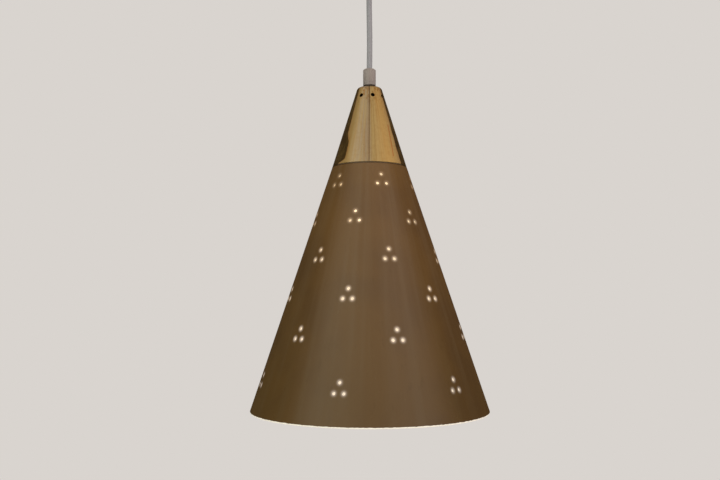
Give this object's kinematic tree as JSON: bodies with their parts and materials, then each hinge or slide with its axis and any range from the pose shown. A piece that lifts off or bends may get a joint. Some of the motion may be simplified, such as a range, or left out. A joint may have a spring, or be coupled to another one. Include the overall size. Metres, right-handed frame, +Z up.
{
  "type": "pendant ceiling lamp",
  "caption": "Pendant lamp: a pierced, painted metal cone under a brass cone, on a white cord from a ceiling cup, with a screw-in bulb inside.",
  "frame": {"origin": "centre of the mounting plate's upper face, where it meets the ceiling, on the lamp's axis", "axes": "+Z up into the ceiling along the lamp's axis, so the lamp hangs along -Z; -Y towards the viewer of the picture; +X to the viewer's right"},
  "size_m": [0.25, 0.25, 0.5282],
  "materials": {
    "olive_brown_paint": "semi-gloss olive-brown paint outside, white enamel inside",
    "aged_brass": "satin, tarnished",
    "zinc_plated_steel": "satin zinc plating",
    "ivory_nylon": "satin",
    "white_plastic": "satin",
    "white_pvc": "soft satin",
    "brown_core": "satin",
    "blue_core": "satin",
    "black_bakelite": "gloss",
    "white_porcelain": "glazed",
    "solder": "dull",
    "black_glass": "gloss",
    "frosted_glass": "frosted",
    "tungsten": "bare wire",
    "nickel": "satin"
  },
  "bodies": {
    "ceiling_fixing": {"mounting_plate": "zinc_plated_steel", "hook_bush": "zinc_plated_steel", "ceiling_hook": "zinc_plated_steel"},
    "suspension_ring": {"suspension_ring": "zinc_plated_steel"},
    "hanger": {"cord_hanger": "zinc_plated_steel", "cord_saddle": "white_plastic", "saddle_screw_left": "zinc_plated_steel", "saddle_screw_right": "zinc_plated_steel", "terminal_block": "white_plastic", "block_screw": "zinc_plated_steel", "block_barrel_live": "aged_brass", "block_barrel_neutral": "aged_brass", "upper_core_live": "brown_core", "upper_core_neutral": "blue_core", "cord": "white_pvc"},
    "cup": {"ceiling_cup": "white_plastic", "cup_grub_screw": "zinc_plated_steel"},
    "lamp": {"cord_grip": "ivory_nylon", "grip_screw": "zinc_plated_steel", "cord_tail": "white_pvc", "cap_washer": "zinc_plated_steel", "threaded_nipple": "zinc_plated_steel", "lock_nut": "aged_brass", "brass_cap": "aged_brass", "joining_collar": "aged_brass", "shade": "olive_brown_paint", "holder_cap": "black_bakelite", "holder_barrel": "black_bakelite", "holder_insert": "white_porcelain", "terminal_screw_live": "aged_brass", "terminal_screw_neutral": "aged_brass", "centre_contact": "aged_brass", "lower_core_live": "brown_core", "lower_core_neutral": "blue_core", "socket_shell": "aged_brass"},
    "bulb_contact": {"bulb_tip": "solder"},
    "bulb": {"bulb_base": "nickel", "bulb_insulator": "black_glass", "bulb_glass": "frosted_glass", "bulb_stem": "frosted_glass", "lead_wire_1": "nickel", "lead_wire_2": "nickel", "filament": "tungsten"}
  },
  "joints": [
    {"name": "swing_side", "type": "hinge", "parent": "ceiling_fixing", "child": "suspension_ring", "pos_m": [0, 0, -0.02273], "axis": [0, 1, 0], "range_deg": [-8, 8]},
    {"name": "swing_front", "type": "hinge", "parent": "suspension_ring", "child": "hanger", "pos_m": [0, 0, -0.03103], "axis": [1, 0, 0], "range_deg": [-8, 8]},
    {"name": "cup_slide", "type": "slide", "parent": "hanger", "child": "cup", "axis": [0, 0, -1], "range_m": [0, 0.075]},
    {"name": "lamp_twist", "type": "hinge", "parent": "hanger", "child": "lamp", "pos_m": [0, 0, -0.16383], "axis": [0, 0, 1], "range_deg": [-180, 180], "stiffness_Nm_per_rad": 0.001},
    {"name": "bulb_travel", "type": "slide", "parent": "lamp", "child": "bulb_contact", "axis": [0, 0, -1], "range_m": [0, 0.01448]},
    {"name": "bulb_turn", "type": "hinge", "parent": "bulb_contact", "child": "bulb", "pos_m": [0, 0, -0.22592], "axis": [0, 0, -1], "range_deg": [0, 1440]}
  ],
  "couplings": [
    {"joint": "bulb_travel", "follows": "bulb_turn", "m_per_rad": 0.00057614}
  ]
}
